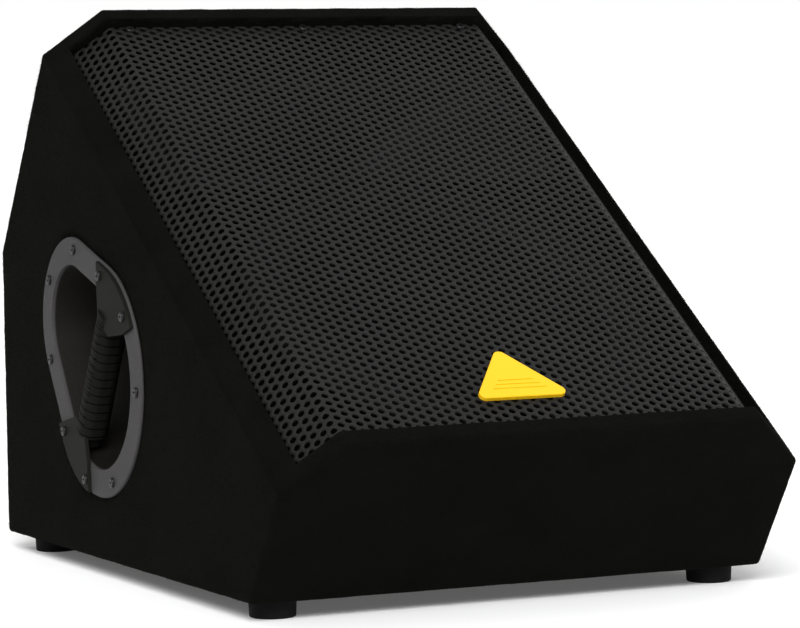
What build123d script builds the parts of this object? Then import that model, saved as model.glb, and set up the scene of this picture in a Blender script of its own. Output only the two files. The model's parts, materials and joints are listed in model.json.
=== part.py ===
from build123d import *
import os
from math import atan2, cos, degrees, radians, sin, sqrt, tan

# Stage monitor wedge: a carpeted wooden cabinet lying on four feet, its sloped face a recessed
# perforated grille with a horn above a 12 inch woofer. Millimetres, +Z up, the sloped face towards -Y.
# The origin is on the floor, under the middle of the cabinet.

# ---- driving dimensions: cabinet ----
WIDTH = 405.0            # over the carpet
TILT = 34.0              # sloped face above the floor
RIM_LENGTH = 542.0       # lower front edge to the ridge, along the slope
FRONT_DROP = 137.5       # lower front panel, square to the slope
REAR_SLANT = 230.0       # slanted rear panel, square to the slope
CHAMFER = 41.5           # 45 degree cut of both long front edges, along each face
BOARD = 12.0
CARPET = 1.5
CARPET_ROUND = 4.0
BAFFLE_DEPTH = 40.0      # baffle's front face, below the rim
BAFFLE_BOARD = 15.0
FOOT_HEIGHT = 13.0
FOOT_RADIUS = 17.0
FOOT_X = 174.0
FOOT_FRONT = 103.7       # foot centre behind the lower front edge
FOOT_REAR = 36.0         # foot centre ahead of the rear face

# ---- driving dimensions: grille and badge ----
GRILLE_RECESS = 8.0
GRILLE_SHEET = 1.2
GRILLE_FOLD_RADIUS = 5.0
GRILLE_GAP = 0.3         # between the grille's edges and the carpet
BATTEN_WIDTH = 15.0
BADGE_WIDTH = 68.0
BADGE_HEIGHT = 48.0
BADGE_THICK = 3.0
BADGE_CENTRE_X = -6.0
BADGE_BASE = 47.5        # above the lower front edge, along the slope
BADGE_CORNER = 5.0
GRILLE_SCREW_RADIUS = 1.6
GRILLE_SCREWS = [(x, along) for x in (-142.0, 4.0, 142.0) for along in (19.2, 522.8)]

# ---- driving dimensions: drivers ----
WOOFER_ALONG = 190.0     # woofer axis above the lower front edge, along the slope
WOOFER_RADIUS = 153.0
WOOFER_CUT = 140.0
HORN_ALONG = 420.0
HORN_WIDTH = 330.0
HORN_HEIGHT = 140.0
HORN_MOUTH_WIDTH = 300.0
HORN_MOUTH_HEIGHT = 112.0
HORN_DEEP = 105.0
THROAT_RADIUS = 12.7

# ---- driving dimensions: handle and input plate ----
HANDLE_UPPER = (122.0, 190.0, 65.5)   # Y, Z and radius of the flange's upper round end
HANDLE_LOWER = (68.0, 150.0, 89.0)    # and of its lower one
HANDLE_LIP = 21.0                     # flange width
FLANGE_PROUD = 2.5
FLANGE_THICK = 4.0
CUP_DEEP = 62.0
CUP_WALL = 3.0
CUP_DRAFT = 12.0
PLATE_Y = 105.0
PLATE_Z = 150.0
PLATE_LONG = 190.0
PLATE_TALL = 116.0
DISH_LONG = 160.0
DISH_TALL = 86.0
DISH_DEEP = 34.0
JACK_RADIUS = 3.25
JACK_LONG = 26.0
HOLE_PLAY = 0.1          # screw holes over their screws

# ---- worked out ----
SIN, COS = sin(radians(TILT)), cos(radians(TILT))
DEPTH = RIM_LENGTH * COS + REAR_SLANT * SIN
EDGE_Y = -DEPTH / 2
EDGE_Z = FOOT_HEIGHT + FRONT_DROP * COS
HALF = WIDTH / 2
RIM = BOARD + 2 * CARPET
IN_X = HALF - RIM                      # half the width between the lined rims
WOOD_X = HALF - CARPET - BOARD         # half the width between the bare side boards
FLOOR_TOP = FOOT_HEIGHT + CARPET + BOARD
BAFFLE_BACK = BAFFLE_DEPTH + BAFFLE_BOARD
SLOPE = Plane(origin=(0, EDGE_Y, EDGE_Z), x_dir=(1, 0, 0), z_dir=(0, -SIN, COS))
LEFT = Plane(origin=(-HALF, 0, 0), x_dir=(0, -1, 0), z_dir=(-1, 0, 0))
RIGHT = Plane(origin=(HALF, 0, 0), x_dir=(0, 1, 0), z_dir=(1, 0, 0))
FAR = 900.0


def on_slope(shape):
    """From the slope's own frame: X across, Y up the slope, Z out of it, from the lower front edge."""
    return SLOPE.location * shape


def on_left(shape):
    """From the left side's frame: X forward, Y up, Z out of the cabinet."""
    return LEFT.location * shape


def on_right(shape):
    """From the right side's frame: X back, Y up, Z out of the cabinet."""
    return RIGHT.location * shape


def block(low, high):
    """A box between two corners."""
    size = [b - a for a, b in zip(low, high)]
    middle = [(a + b) / 2 for a, b in zip(low, high)]
    return Pos(*middle) * Box(*size)


def disc(radius, low, high, inner=0.0):
    """A cylinder or ring along Z, between two heights."""
    body = Pos(0, 0, (low + high) / 2) * Cylinder(radius, high - low)
    if inner:
        body -= Pos(0, 0, (low + high) / 2) * Cylinder(inner, high - low + 1)
    return body


def turned(points):
    """A solid of revolution about Z from its outline of radius and height."""
    return revolve(Plane.XZ * make_face(Polyline(*points, close=True)), Axis.Z)


def group(solids):
    return Compound(children=list(solids))


# ---- cabinet ----

def wedge(inset):
    """The cabinet's outer form, with every face moved in by inset."""
    corners = [
        (EDGE_Y, EDGE_Z),
        (EDGE_Y + RIM_LENGTH * COS, EDGE_Z + RIM_LENGTH * SIN),
        (DEPTH / 2, EDGE_Z + RIM_LENGTH * SIN - REAR_SLANT * COS),
        (DEPTH / 2, FOOT_HEIGHT),
        (EDGE_Y + FRONT_DROP * SIN, FOOT_HEIGHT),
    ]
    profile = make_face(Polyline(*corners, close=True))
    if inset:
        profile = offset(profile, -inset, kind=Kind.INTERSECTION)
    side = extrude(Plane.YZ * profile, FAR, both=True)
    wide = HALF - inset
    cut = CHAMFER - (2 - sqrt(2)) * inset
    section = make_face(Polyline(
        (-wide, -FAR), (wide, -FAR), (wide, -inset - cut), (wide - cut, -inset),
        (cut - wide, -inset), (-wide, -inset - cut), close=True,
    ))
    section = Pos(0, -FAR, 0) * (Plane.XZ * section)
    return side & on_slope(extrude(section, 2 * FAR, dir=(0, 1, 0)))


def recess(spread):
    """The open well in front of the baffle, spread wider than the lined well by this much on each side."""
    return on_slope(block(
        (-IN_X - spread, RIM - spread, -BAFFLE_DEPTH),
        (IN_X + spread, RIM_LENGTH - RIM + spread, FAR),
    ))


def handle_hull(grow):
    """The handle flange's outline in the left side's frame, grown by this much."""
    ends = []
    for y, z, radius in (HANDLE_UPPER, HANDLE_LOWER):
        ends += (Pos(-y, z) * Circle(radius + grow)).edges()
    return make_hull(ends)


def handle_opening(grow):
    return on_left(extrude(handle_hull(-HANDLE_LIP + CUP_WALL + grow), 60, both=True))


def plate_opening(grow):
    shape = RectangleRounded(DISH_LONG + 2 * (CUP_WALL + grow), DISH_TALL + 2 * (CUP_WALL + grow), 10)
    return on_right(Pos(PLATE_Y, PLATE_Z) * extrude(shape, 60, both=True))


WOOD = wedge(CARPET)


def side_board(sign):
    low, high = sorted((sign * WOOD_X, sign * (WOOD_X + BOARD)))
    return WOOD & block((low, -FAR, 0), (high, FAR, FAR))


def across(low, high):
    """The part of the bare cabinet between the side boards, in a slab of the slope's frame."""
    return WOOD & on_slope(block((-WOOD_X, low[0], low[1]), (WOOD_X, high[0], high[1])))


def boards():
    bottom = WOOD & block((-WOOD_X, -FAR, 0), (WOOD_X, FAR, FLOOR_TOP))
    slant = across((RIM_LENGTH - CARPET - BOARD, -FAR), (RIM_LENGTH, 0))
    front = across((0, -FAR), (CARPET + BOARD, 0)) - bottom
    rear = (WOOD & block((-WOOD_X, DEPTH / 2 - CARPET - BOARD, 0), (WOOD_X, DEPTH / 2, FAR))) - slant - bottom
    return bottom, slant, front, rear


def baffle():
    board = across((CARPET + BOARD, -BAFFLE_BACK), (RIM_LENGTH - CARPET - BOARD, -BAFFLE_DEPTH))
    board -= on_slope(Pos(0, WOOFER_ALONG, -BAFFLE_DEPTH) * Cylinder(WOOFER_CUT, 60))
    mouth = RectangleRounded(HORN_MOUTH_WIDTH + 12, HORN_MOUTH_HEIGHT + 10, 20)
    board -= on_slope(Pos(0, HORN_ALONG, -BAFFLE_DEPTH - 30) * extrude(mouth, 60))
    return board


def baffle_battens():
    """Two strips on the side boards, behind the baffle's long edges."""
    strips = []
    for sign in (-1, 1):
        low, high = sorted((sign * WOOD_X, sign * (WOOD_X - BATTEN_WIDTH)))
        strips.append(on_slope(block(
            (low, 80, -BAFFLE_BACK - BATTEN_WIDTH), (high, RIM_LENGTH - 40, -BAFFLE_BACK),
        )))
    return strips


def grille_battens():
    """The strips on the baffle that the grille's ends are screwed to."""
    wide = HALF - CHAMFER - 8
    top = -GRILLE_RECESS - GRILLE_SHEET
    strips = []
    for low in (RIM, RIM_LENGTH - RIM - BATTEN_WIDTH):
        strip = block((-wide, low, -BAFFLE_DEPTH), (wide, low + BATTEN_WIDTH, top))
        for x, along in GRILLE_SCREWS:
            strip -= Pos(x, along, -GRILLE_RECESS) * disc(GRILLE_SCREW_RADIUS + HOLE_PLAY, -14.5, 1)
        strips.append(on_slope(strip))
    return strips


def carpet_shell():
    """Carpet over the whole outside, and down the inner faces of the rim as far as the baffle."""
    outer = fillet(wedge(0).edges(), CARPET_ROUND)
    return outer - (WOOD - recess(CARPET)) - recess(0)


def carpet_pieces(shell):
    """The wrap that goes round the cabinet, and the two side pieces butted to its edges."""
    seam = HALF - CARPET
    wrap = shell & block((-seam, -FAR, 0), (seam, FAR, FAR))
    left = shell & block((-HALF, -FAR, 0), (-seam, FAR, FAR))
    right = shell & block((seam, -FAR, 0), (HALF, FAR, FAR))
    return wrap, left, right


# ---- grille and badge ----

def grille():
    """A sheet bent back 45 degrees along both long edges, so that its sides reach down to the baffle."""
    edge = IN_X - GRILLE_GAP
    fold = HALF - CHAMFER - GRILLE_RECESS * (sqrt(2) - 1)
    back_fold = fold - GRILLE_SHEET * (sqrt(2) - 1)
    top, back = -GRILLE_RECESS, -GRILLE_RECESS - GRILLE_SHEET
    outline = make_face(Polyline(
        (-edge, top - edge + fold), (-fold, top), (fold, top), (edge, top - edge + fold),
        (edge, back - edge + back_fold), (back_fold, back), (-back_fold, back),
        (-edge, back - edge + back_fold), close=True,
    ))
    bends = outline.vertices().filter_by(lambda v: abs(v.X) < fold + 1)
    outline = fillet(bends.filter_by(lambda v: v.Y > top - 0.1), GRILLE_FOLD_RADIUS + GRILLE_SHEET)
    bends = outline.vertices().filter_by(lambda v: abs(abs(v.X) - back_fold) + abs(v.Y - back) < 0.01)
    outline = fillet(bends, GRILLE_FOLD_RADIUS)
    low, high = RIM + GRILLE_GAP, RIM_LENGTH - RIM - GRILLE_GAP
    sheet = extrude(Pos(0, low, 0) * (Plane.XZ * outline), high - low, dir=(0, 1, 0))
    for x, along in GRILLE_SCREWS:
        sheet -= Pos(x, along, top) * Cylinder(GRILLE_SCREW_RADIUS + HOLE_PLAY, 10)
    return on_slope(sheet)


def badge_outline():
    half, corner = BADGE_WIDTH / 2, BADGE_CORNER
    shape = make_face(Polyline((-half - 4, 0), (half + 4, 0), (0, BADGE_HEIGHT + 7), close=True))
    return fillet(shape.vertices(), corner)


def badge():
    """A rounded triangular plate with three plain ribs, standing on the grille."""
    plate = extrude(badge_outline(), BADGE_THICK)
    plate = fillet(plate.edges().filter_by(lambda e: e.center().Z > BADGE_THICK - 0.01), 0.8)
    for step, half in enumerate((21.0, 17.5, 14.0)):
        groove = Pos(0, 9.0 + 4.5 * step, BADGE_THICK) * SlotOverall(2 * half, 1.6)
        plate -= extrude(groove, 0.5, both=True)
    return on_slope(Pos(BADGE_CENTRE_X, BADGE_BASE, -GRILLE_RECESS) * plate)


# ---- screws ----

def screw(head_radius, head_high, shaft_radius, long, cross=0.0):
    """A round-headed screw along Z, its head's underside at 0, with a cross recess this wide if asked."""
    body = disc(head_radius, 0, head_high)
    body = fillet(body.edges().sort_by(Axis.Z)[-1], head_high * 0.6)
    body += disc(shaft_radius, -long, 0)
    if cross:
        deep = head_high * 0.6
        for arm in ((cross, cross / 4), (cross / 4, cross)):
            body -= Pos(0, 0, head_high) * Box(arm[0], arm[1], 2 * deep)
    return body


def ring_places(count, radius, first=0.0):
    """Places evenly round a circle about Z."""
    return [Rot(0, 0, first + 360 / count * i) * Pos(radius, 0, 0) for i in range(count)]


def grille_screws():
    top = -GRILLE_RECESS
    one = screw(3.6, 1.8, GRILLE_SCREW_RADIUS, 14, cross=3.6)
    return group(on_slope(Pos(x, along, top) * one) for x, along in GRILLE_SCREWS)


def screw_holes(places, radius, long):
    """Holes for screws that go down from their places."""
    return [place * disc(radius + HOLE_PLAY, -long - HOLE_PLAY, 1) for place in places]


# ---- woofer: its own frame has Z out of the baffle, from the baffle's front face ----

WOOFER_AT = SLOPE.location * Pos(0, WOOFER_ALONG, -BAFFLE_DEPTH)
BASKET_FLANGE = 2.0
POLE_RADIUS = 30.7
FORMER_INNER = 31.3
FORMER_OUTER = 31.6
WINDING_RADIUS = 32.2
GAP_RADIUS = 33.0
SHELF_RADIUS = 66.0
SHELF_Z = -66.0
BASKET_BACK = -78.0
TOP_PLATE_BACK = -86.0
MAGNET_BACK = -106.0
BACK_PLATE_BACK = -114.0
MAGNET_RADIUS = 78.0
CONE_RADIUS = 118.0
CONE_EDGE_Z = 1.4
NECK_Z = -56.0
CONE_THICK = 1.2
CONE_NECK = 30.7
CAP_RADIUS = 46.0
WOOFER_SCREW_CIRCLE = 146.5


def woofer_basket():
    """Pressed frame: flange, eight-spoked cone, and a flat back with a raised shelf for the spider."""
    frame = turned([
        (WOOFER_RADIUS, 0), (WOOFER_RADIUS, BASKET_FLANGE), (134.5, BASKET_FLANGE), (134.5, 0),
        (80.0, SHELF_Z), (SHELF_RADIUS, SHELF_Z), (SHELF_RADIUS, BASKET_BACK + 2.5),
        (GAP_RADIUS + 0.5, BASKET_BACK + 2.5), (GAP_RADIUS + 0.5, BASKET_BACK), (83.0, BASKET_BACK),
        (83.0, SHELF_Z), (137.0, 0),
    ])
    window = Plane.XZ * make_face(Polyline((60, -58), (170, -58), (170, -9), (60, -9), close=True))
    opening = revolve(window, Axis.Z, revolution_arc=33)
    for i in range(8):
        frame -= Rot(0, 0, 45 * i) * opening
    for hole in screw_holes(ring_places(8, WOOFER_SCREW_CIRCLE, 22.5), 2.4, 4):
        frame -= Pos(0, 0, BASKET_FLANGE) * hole
    return WOOFER_AT * frame


def woofer_gasket():
    ring = disc(WOOFER_RADIUS, BASKET_FLANGE, BASKET_FLANGE + 4, inner=136.5)
    for hole in screw_holes(ring_places(8, WOOFER_SCREW_CIRCLE, 22.5), 5.2, 6):
        ring -= Pos(0, 0, BASKET_FLANGE + 4) * hole
    return WOOFER_AT * ring


def woofer_screws():
    one = Pos(0, 0, BASKET_FLANGE) * screw(4.6, 3.0, 2.4, 16, cross=4.5)
    return group(WOOFER_AT * place * one for place in ring_places(8, WOOFER_SCREW_CIRCLE, 22.5))


def woofer_top_plate():
    return WOOFER_AT * disc(70.0, TOP_PLATE_BACK, BASKET_BACK, inner=GAP_RADIUS)


def woofer_magnet():
    ring = disc(MAGNET_RADIUS, MAGNET_BACK, TOP_PLATE_BACK, inner=42.0)
    ends = ring.edges().filter_by(GeomType.CIRCLE).filter_by(lambda e: e.radius > MAGNET_RADIUS - 1)
    return WOOFER_AT * chamfer(ends, 1.5)


def woofer_back_plate():
    """The back plate and its vented pole in one forging."""
    shape = disc(70.0, BACK_PLATE_BACK, MAGNET_BACK) + disc(POLE_RADIUS, MAGNET_BACK, BASKET_BACK)
    return WOOFER_AT * (shape - disc(9.0, BACK_PLATE_BACK - 1, BASKET_BACK + 1))


def voice_coil():
    """The former glued in the cone's neck, and the copper winding on it."""
    former = disc(FORMER_OUTER, -97.0, NECK_Z, inner=FORMER_INNER)
    winding = disc(WINDING_RADIUS, -93.0, -75.0, inner=FORMER_OUTER)
    return group([WOOFER_AT * former, WOOFER_AT * winding])


def woofer_cone():
    """A straight paper cone from the former's end to the surround."""
    return WOOFER_AT * turned([
        (FORMER_OUTER, NECK_Z), (CONE_RADIUS, CONE_EDGE_Z), (CONE_RADIUS, CONE_EDGE_Z + CONE_THICK),
        (CONE_NECK, NECK_Z + CONE_THICK), (CONE_NECK, NECK_Z),
    ])


def woofer_dust_cap():
    """A domed cap glued on the cone."""
    slope = (CONE_EDGE_Z - NECK_Z) / (CONE_RADIUS - CONE_NECK)
    seat = NECK_Z + CONE_THICK + (CAP_RADIUS - CONE_NECK) * slope
    rise, thick = 14.0, 0.8
    outer = ThreePointArc((-CAP_RADIUS, seat), (0, seat + rise), (CAP_RADIUS, seat))
    inner = ThreePointArc((-CAP_RADIUS + 1.5, seat), (0, seat + rise - thick), (CAP_RADIUS - 1.5, seat))
    ends = [Line(outer @ 0, inner @ 0), Line(outer @ 1, inner @ 1)]
    shell = make_face([outer, inner, *ends]) & Pos(CAP_RADIUS, seat) * Rectangle(2 * CAP_RADIUS, 80)
    return WOOFER_AT * revolve(Plane.XZ * shell, Axis.Z)


def woofer_surround():
    """A half-roll of doped cloth from the cone's edge to a flat rim on the frame, inside the gasket."""
    start, stop, rim, thick = CONE_RADIUS, 131.0, 136.3, 0.8
    middle, radius, base = (start + stop) / 2, (stop - start) / 2, BASKET_FLANGE
    roll = (Pos(middle, base) * Circle(radius)) - (Pos(middle, base) * Circle(radius - thick))
    roll &= Pos(middle, base + 30) * Rectangle(60, 60)
    flat = Pos((stop - thick + rim) / 2, base + thick / 2) * Rectangle(rim - stop + thick, thick)
    return WOOFER_AT * revolve(Plane.XZ * (roll + flat), Axis.Z)


def woofer_spider():
    """The corrugated centring disc between the former and the frame's shelf."""
    high, count, thick = 1.6, 6, 0.6
    first, last = FORMER_OUTER + 0.05, SHELF_RADIUS
    step = (last - first) / count
    mid = SHELF_Z + 1.0
    upper, lower = [], []
    for i in range(count + 1):
        radius = first + step * i
        rise = high * (0.5 if i % 2 else -0.5)
        upper.append((radius, mid + rise + thick))
        lower.append((radius, mid + rise))
    upper += [(78.0, SHELF_Z + thick)]
    lower = lower[:-1] + [(SHELF_RADIUS + 1.0, SHELF_Z), (78.0, SHELF_Z)]
    upper[-2] = (SHELF_RADIUS + 1.0, SHELF_Z + thick)
    return WOOFER_AT * turned(upper + lower[::-1])


def woofer_terminals():
    """The terminal block on the frame's side, with its two blades."""
    strip = block((80, -16, BASKET_BACK), (92, 16, SHELF_Z - 1)) - disc(83.0, BASKET_BACK - 1, SHELF_Z)
    for y in (-8, 8):
        strip += block((92, y - 3, -73.5), (100, y + 3, -72.5))
    return WOOFER_AT * strip


# ---- horn and compression driver: Z out of the baffle, from the baffle's front face ----

HORN_AT = SLOPE.location * Pos(0, HORN_ALONG, -BAFFLE_DEPTH)
HORN_FLANGE = 4.0
HORN_WALL = 3.0
HORN_BACK = -HORN_DEEP - 6.0
DRIVER_RADIUS = 50.0
POLE_PLATE_BACK = HORN_BACK - 8.0
DRIVER_MAGNET_BACK = POLE_PLATE_BACK - 18.0
DRIVER_PLATE_BACK = DRIVER_MAGNET_BACK - 8.0
HORN_SCREWS = [(x, y) for x in (-155.0, 0.0, 155.0) for y in (-63.5, 63.5)]


def horn_flare(grow, front):
    """The flare from the wide mouth to the round throat, its walls moved out by grow."""
    sections = [
        (HORN_MOUTH_WIDTH, HORN_MOUTH_HEIGHT, 20.0, front),
        (150.0, 74.0, 30.0, -40.0),
        (60.0, 42.0, 20.0, -80.0),
        (2 * THROAT_RADIUS, 2 * THROAT_RADIUS, THROAT_RADIUS - 1.0, -HORN_DEEP),
    ]
    faces = [
        Pos(0, 0, z) * RectangleRounded(wide + 2 * grow, high + 2 * grow, corner + grow)
        for wide, high, corner, z in sections
    ]
    return loft(faces)


def horn():
    body = extrude(RectangleRounded(HORN_WIDTH, HORN_HEIGHT, 12), HORN_FLANGE)
    body = fillet(body.edges().filter_by(lambda e: e.center().Z > HORN_FLANGE - 0.01), 1.5)
    body += horn_flare(HORN_WALL, 0.0)
    body += disc(36.0, HORN_BACK, -HORN_DEEP)
    body -= horn_flare(0.0, 0.0)
    body -= extrude(RectangleRounded(HORN_MOUTH_WIDTH, HORN_MOUTH_HEIGHT, 20), HORN_FLANGE + 1)
    body -= disc(THROAT_RADIUS, HORN_BACK - 1, -HORN_DEEP + 0.5)
    for x, y in HORN_SCREWS:
        body -= Pos(x, y, 0) * disc(2.2 + HOLE_PLAY, -1, HORN_FLANGE + 1)
    return HORN_AT * body


def horn_screws():
    one = Pos(0, 0, HORN_FLANGE) * screw(4.2, 2.6, 2.2, 18, cross=4.0)
    return group(HORN_AT * Pos(x, y, 0) * one for x, y in HORN_SCREWS)


def driver_pole():
    """The driver's front plate and pole, bored for the throat."""
    shape = disc(DRIVER_RADIUS, POLE_PLATE_BACK, HORN_BACK) + disc(21.5, DRIVER_PLATE_BACK, POLE_PLATE_BACK)
    return HORN_AT * (shape - disc(THROAT_RADIUS, DRIVER_PLATE_BACK - 1, HORN_BACK + 1))


def driver_magnet():
    ring = disc(DRIVER_RADIUS - 1, DRIVER_MAGNET_BACK, POLE_PLATE_BACK, inner=27.0)
    ends = ring.edges().filter_by(GeomType.CIRCLE).filter_by(lambda e: e.radius > 40)
    return HORN_AT * chamfer(ends, 1.2)


def driver_rear_plate():
    return HORN_AT * disc(DRIVER_RADIUS - 3, DRIVER_PLATE_BACK, DRIVER_MAGNET_BACK, inner=23.4)


def driver_diaphragm():
    """The dome and its coil former, which hangs in the gap."""
    seat = DRIVER_PLATE_BACK - 3.0
    former = disc(22.5, seat, DRIVER_PLATE_BACK + 6.0, inner=22.1)
    outer = ThreePointArc((-22.5, seat), (0, seat - 9.0), (22.5, seat))
    inner = ThreePointArc((-22.1, seat), (0, seat - 8.6), (22.1, seat))
    ends = [Line(outer @ 0, inner @ 0), Line(outer @ 1, inner @ 1)]
    half = make_face([outer, inner, *ends]) & Pos(30, seat) * Rectangle(60, 60)
    return HORN_AT * (former + revolve(Plane.XZ * half, Axis.Z))


def driver_suspension():
    """The thin ring that carries the dome, on its spacer."""
    seat = DRIVER_PLATE_BACK - 3.0
    ring = disc(36.0, seat - 0.3, seat, inner=22.5)
    return HORN_AT * (ring + disc(36.0, seat, DRIVER_PLATE_BACK, inner=31.0))


def driver_rear_cover():
    """The moulded cap over the diaphragm, with its two terminals."""
    deep = 24.0
    cap = disc(45.0, DRIVER_PLATE_BACK - deep, DRIVER_PLATE_BACK)
    cap = fillet(cap.edges().sort_by(Axis.Z)[0], 6)
    cap -= disc(41.5, DRIVER_PLATE_BACK - deep + 3, DRIVER_PLATE_BACK + 1)
    for x in (-12, 12):
        cap += block((x - 3, -0.5, DRIVER_PLATE_BACK - deep - 7), (x + 3, 0.5, DRIVER_PLATE_BACK - deep))
    return HORN_AT * cap


# ---- handle: the left side's frame, X forward, Y up, Z out of the cabinet ----

SCREWS_ON_UPPER = (98.0, 33.0, -33.0)     # directions from the upper round end's centre, 0 is rearwards
HANDLE_PLATE = 3.0
BAR_FROM = (-48.0, 200.0)                 # ends of the grip's axis
BAR_TO = (-100.0, 108.0)
GRIP_WIDE = 22.0
GRIP_DEEP = 23.0
GRIP_WALL = 3.5
GRIP_TOP = FLANGE_PROUD + HANDLE_PLATE + 2.0


def handle_screw_places():
    """Nine places round the flange; the four on the bar's end plates are marked."""
    (y1, z1, r1), (y2, z2, r2) = HANDLE_UPPER, HANDLE_LOWER
    near = 9.0
    places = []
    for angle in SCREWS_ON_UPPER:
        reach = r1 - near
        places.append((-(y1 + reach * cos(radians(angle))), z1 + reach * sin(radians(angle)), False))
    for angle, plated in ((-33, True), (-74, True), (-110, False), (-177, False), (141, True), (101, True)):
        reach = r2 - near
        places.append((-(y2 + reach * cos(radians(angle))), z2 + reach * sin(radians(angle)), plated))
    return places


def handle_cup():
    """Flange and tapered cup in one moulding."""
    flange = Pos(0, 0, FLANGE_PROUD - FLANGE_THICK) * extrude(handle_hull(0), FLANGE_THICK)
    rim = flange.edges().filter_by(lambda e: e.center().Z > FLANGE_PROUD - 0.01)
    flange = fillet(rim, 1.6)
    low = FLANGE_PROUD - FLANGE_THICK
    body = flange + handle_well(-HANDLE_LIP + CUP_WALL, low, low - CUP_DEEP)
    return body - handle_well(-HANDLE_LIP, FLANGE_PROUD, low - CUP_DEEP + CUP_WALL)


def handle_well(grow, high, low):
    """A tapered plug of the flange's outline grown by this much, narrowing from one height to another."""
    narrow = grow - (high - low) * tan(radians(CUP_DRAFT))
    return loft([Pos(0, 0, low) * handle_hull(narrow), Pos(0, 0, high) * handle_hull(grow)], ruled=True)


def handle_bar():
    """The bar's core and its two end plates, which lie on the flange."""
    low, high = FLANGE_PROUD, FLANGE_PROUD + HANDLE_PLATE
    upper = make_face(Polyline(
        (-59, 262), (-60, 224), (-58, 196), (-38, 184), (-8, 187), (10, 193), (40, 200), (40, 262),
        close=True,
    ))
    lower = make_face(Polyline(
        (-160, 108), (-142, 113), (-108, 120), (-92, 106), (-87, 86), (-85, 50), (-160, 50), close=True,
    ))
    outline = handle_hull(-0.8)
    plates = None
    for area in (upper, lower):
        area = fillet(area.vertices().filter_by(lambda v: -110 < v.X < 0 and 80 < v.Y < 230), 3)
        plate = Pos(0, 0, low) * extrude(outline & area, high - low)
        plate = fillet(plate.edges().filter_by(lambda e: e.center().Z > high - 0.01), 0.8)
        plates = plate if plates is None else plates + plate
    return plates + bar_core()


def bar_form(low, high, wide, extra):
    """A bar along the grip's axis, between two heights, this much longer than the grip at each end."""
    (x0, y0), (x1, y1) = BAR_FROM, BAR_TO
    axis = Vector(x1 - x0, y1 - y0, 0)
    long = axis.length + 2 * extra
    turn = degrees(atan2(axis.Y, axis.X))
    shape = Pos(0, 0, (low + high) / 2) * Box(long, wide, high - low)
    shape = fillet(shape.edges().filter_by(Axis.X), min(wide, high - low) * 0.42)
    return Pos((x0 + x1) / 2, (y0 + y1) / 2, 0) * Rot(0, 0, turn) * shape


def bar_core():
    """The moulded bar inside the grip, joined to both end plates."""
    return bar_form(GRIP_TOP - GRIP_DEEP + GRIP_WALL, GRIP_TOP - GRIP_WALL, GRIP_WIDE - 2 * GRIP_WALL, 9.0)


def handle_grip():
    """A soft sleeve on the bar, with shallow bowed ribs across it."""
    high = GRIP_TOP
    sleeve = bar_form(high - GRIP_DEEP, high, GRIP_WIDE, 0.0)
    (x0, y0), (x1, y1) = BAR_FROM, BAR_TO
    axis = Vector(x1 - x0, y1 - y0, 0)
    turn = degrees(atan2(axis.Y, axis.X))
    grooves = 14
    ring = None
    for i in range(grooves):
        along = axis.length * ((i + 1.6) / (grooves + 2.2) - 0.5)
        cut = Pos(along - 22, 0, high) * (Cylinder(22.5, 3.0) - Cylinder(21.7, 4.0))
        cut &= Pos(along, 0, high) * Box(9, GRIP_WIDE + 2, 5)
        ring = cut if ring is None else ring + cut
    return sleeve - Pos((x0 + x1) / 2, (y0 + y1) / 2, 0) * Rot(0, 0, turn) * ring


def handle_parts():
    """Cup, bar, grip and screws, drilled and cut to fit each other."""
    cup, bar, grip = handle_cup(), handle_bar(), handle_grip()
    grip -= bar_core()
    bar -= grip
    screws = []
    for x, y, plated in handle_screw_places():
        head = FLANGE_PROUD + (HANDLE_PLATE if plated else 0)
        hole = Pos(x, y, 0) * disc(2.0 + HOLE_PLAY, -20, 20)
        cup -= hole
        bar -= hole
        screws.append(Pos(x, y, head) * screw(3.8, 2.0, 2.0, 15, cross=4.0))
    return on_left(cup), on_left(bar), on_left(grip), group(on_left(s) for s in screws)


# ---- input plate: the right side's frame, X back, Y up, Z out of the cabinet ----

SOCKET_PLACES = [(52.0, 0.0), (12.0, 0.0)]
JACK_PLACES = [(-20.0, 15.0), (-20.0, -15.0)]
SWITCH_PLACE = (-52.0, 0.0)
PLATE_FLOOR = FLANGE_PROUD - DISH_DEEP     # the dish floor's outer face
PLATE_WALL = 3.0
PLATE_SCREWS = [(x, y) for x in (-86.0, 0.0, 86.0) for y in (-50.5, 50.5)]


def on_plate(shape):
    """From the input plate's centre, Z out, 0 at the cabinet's side face."""
    return on_right(Pos(PLATE_Y, PLATE_Z, 0) * shape)


def input_plate():
    """A dished plate: flange, tapered walls and a flat floor with its cut-outs."""
    edge = RectangleRounded(PLATE_LONG, PLATE_TALL, 12)
    flange = Pos(0, 0, FLANGE_PROUD - FLANGE_THICK) * extrude(edge, FLANGE_THICK)
    flange = fillet(flange.edges().filter_by(lambda e: e.center().Z > FLANGE_PROUD - 0.01), 1.5)
    low = FLANGE_PROUD - FLANGE_THICK
    outer = RectangleRounded(DISH_LONG + 2 * PLATE_WALL, DISH_TALL + 2 * PLATE_WALL, 10)
    inner = RectangleRounded(DISH_LONG, DISH_TALL, 7)
    back = PLATE_FLOOR - PLATE_WALL
    body = flange + Pos(0, 0, low) * extrude(outer, back - low, taper=8)
    body -= Pos(0, 0, FLANGE_PROUD) * extrude(inner, -DISH_DEEP, taper=8)
    for x, y in SOCKET_PLACES:
        body -= Pos(x, y, 0) * disc(14.0, back - 1, 0)
    for x, y in JACK_PLACES:
        body -= Pos(x, y, 0) * disc(4.9, back - 1, 0)
    x, y = SWITCH_PLACE
    body -= block((x - 5, y - 8, back - 1), (x + 5, y + 8, 0))
    for x, y in PLATE_SCREWS:
        body -= Pos(x, y, 0) * disc(2.0 + HOLE_PLAY, -8, 8)
    return on_plate(body)


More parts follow.
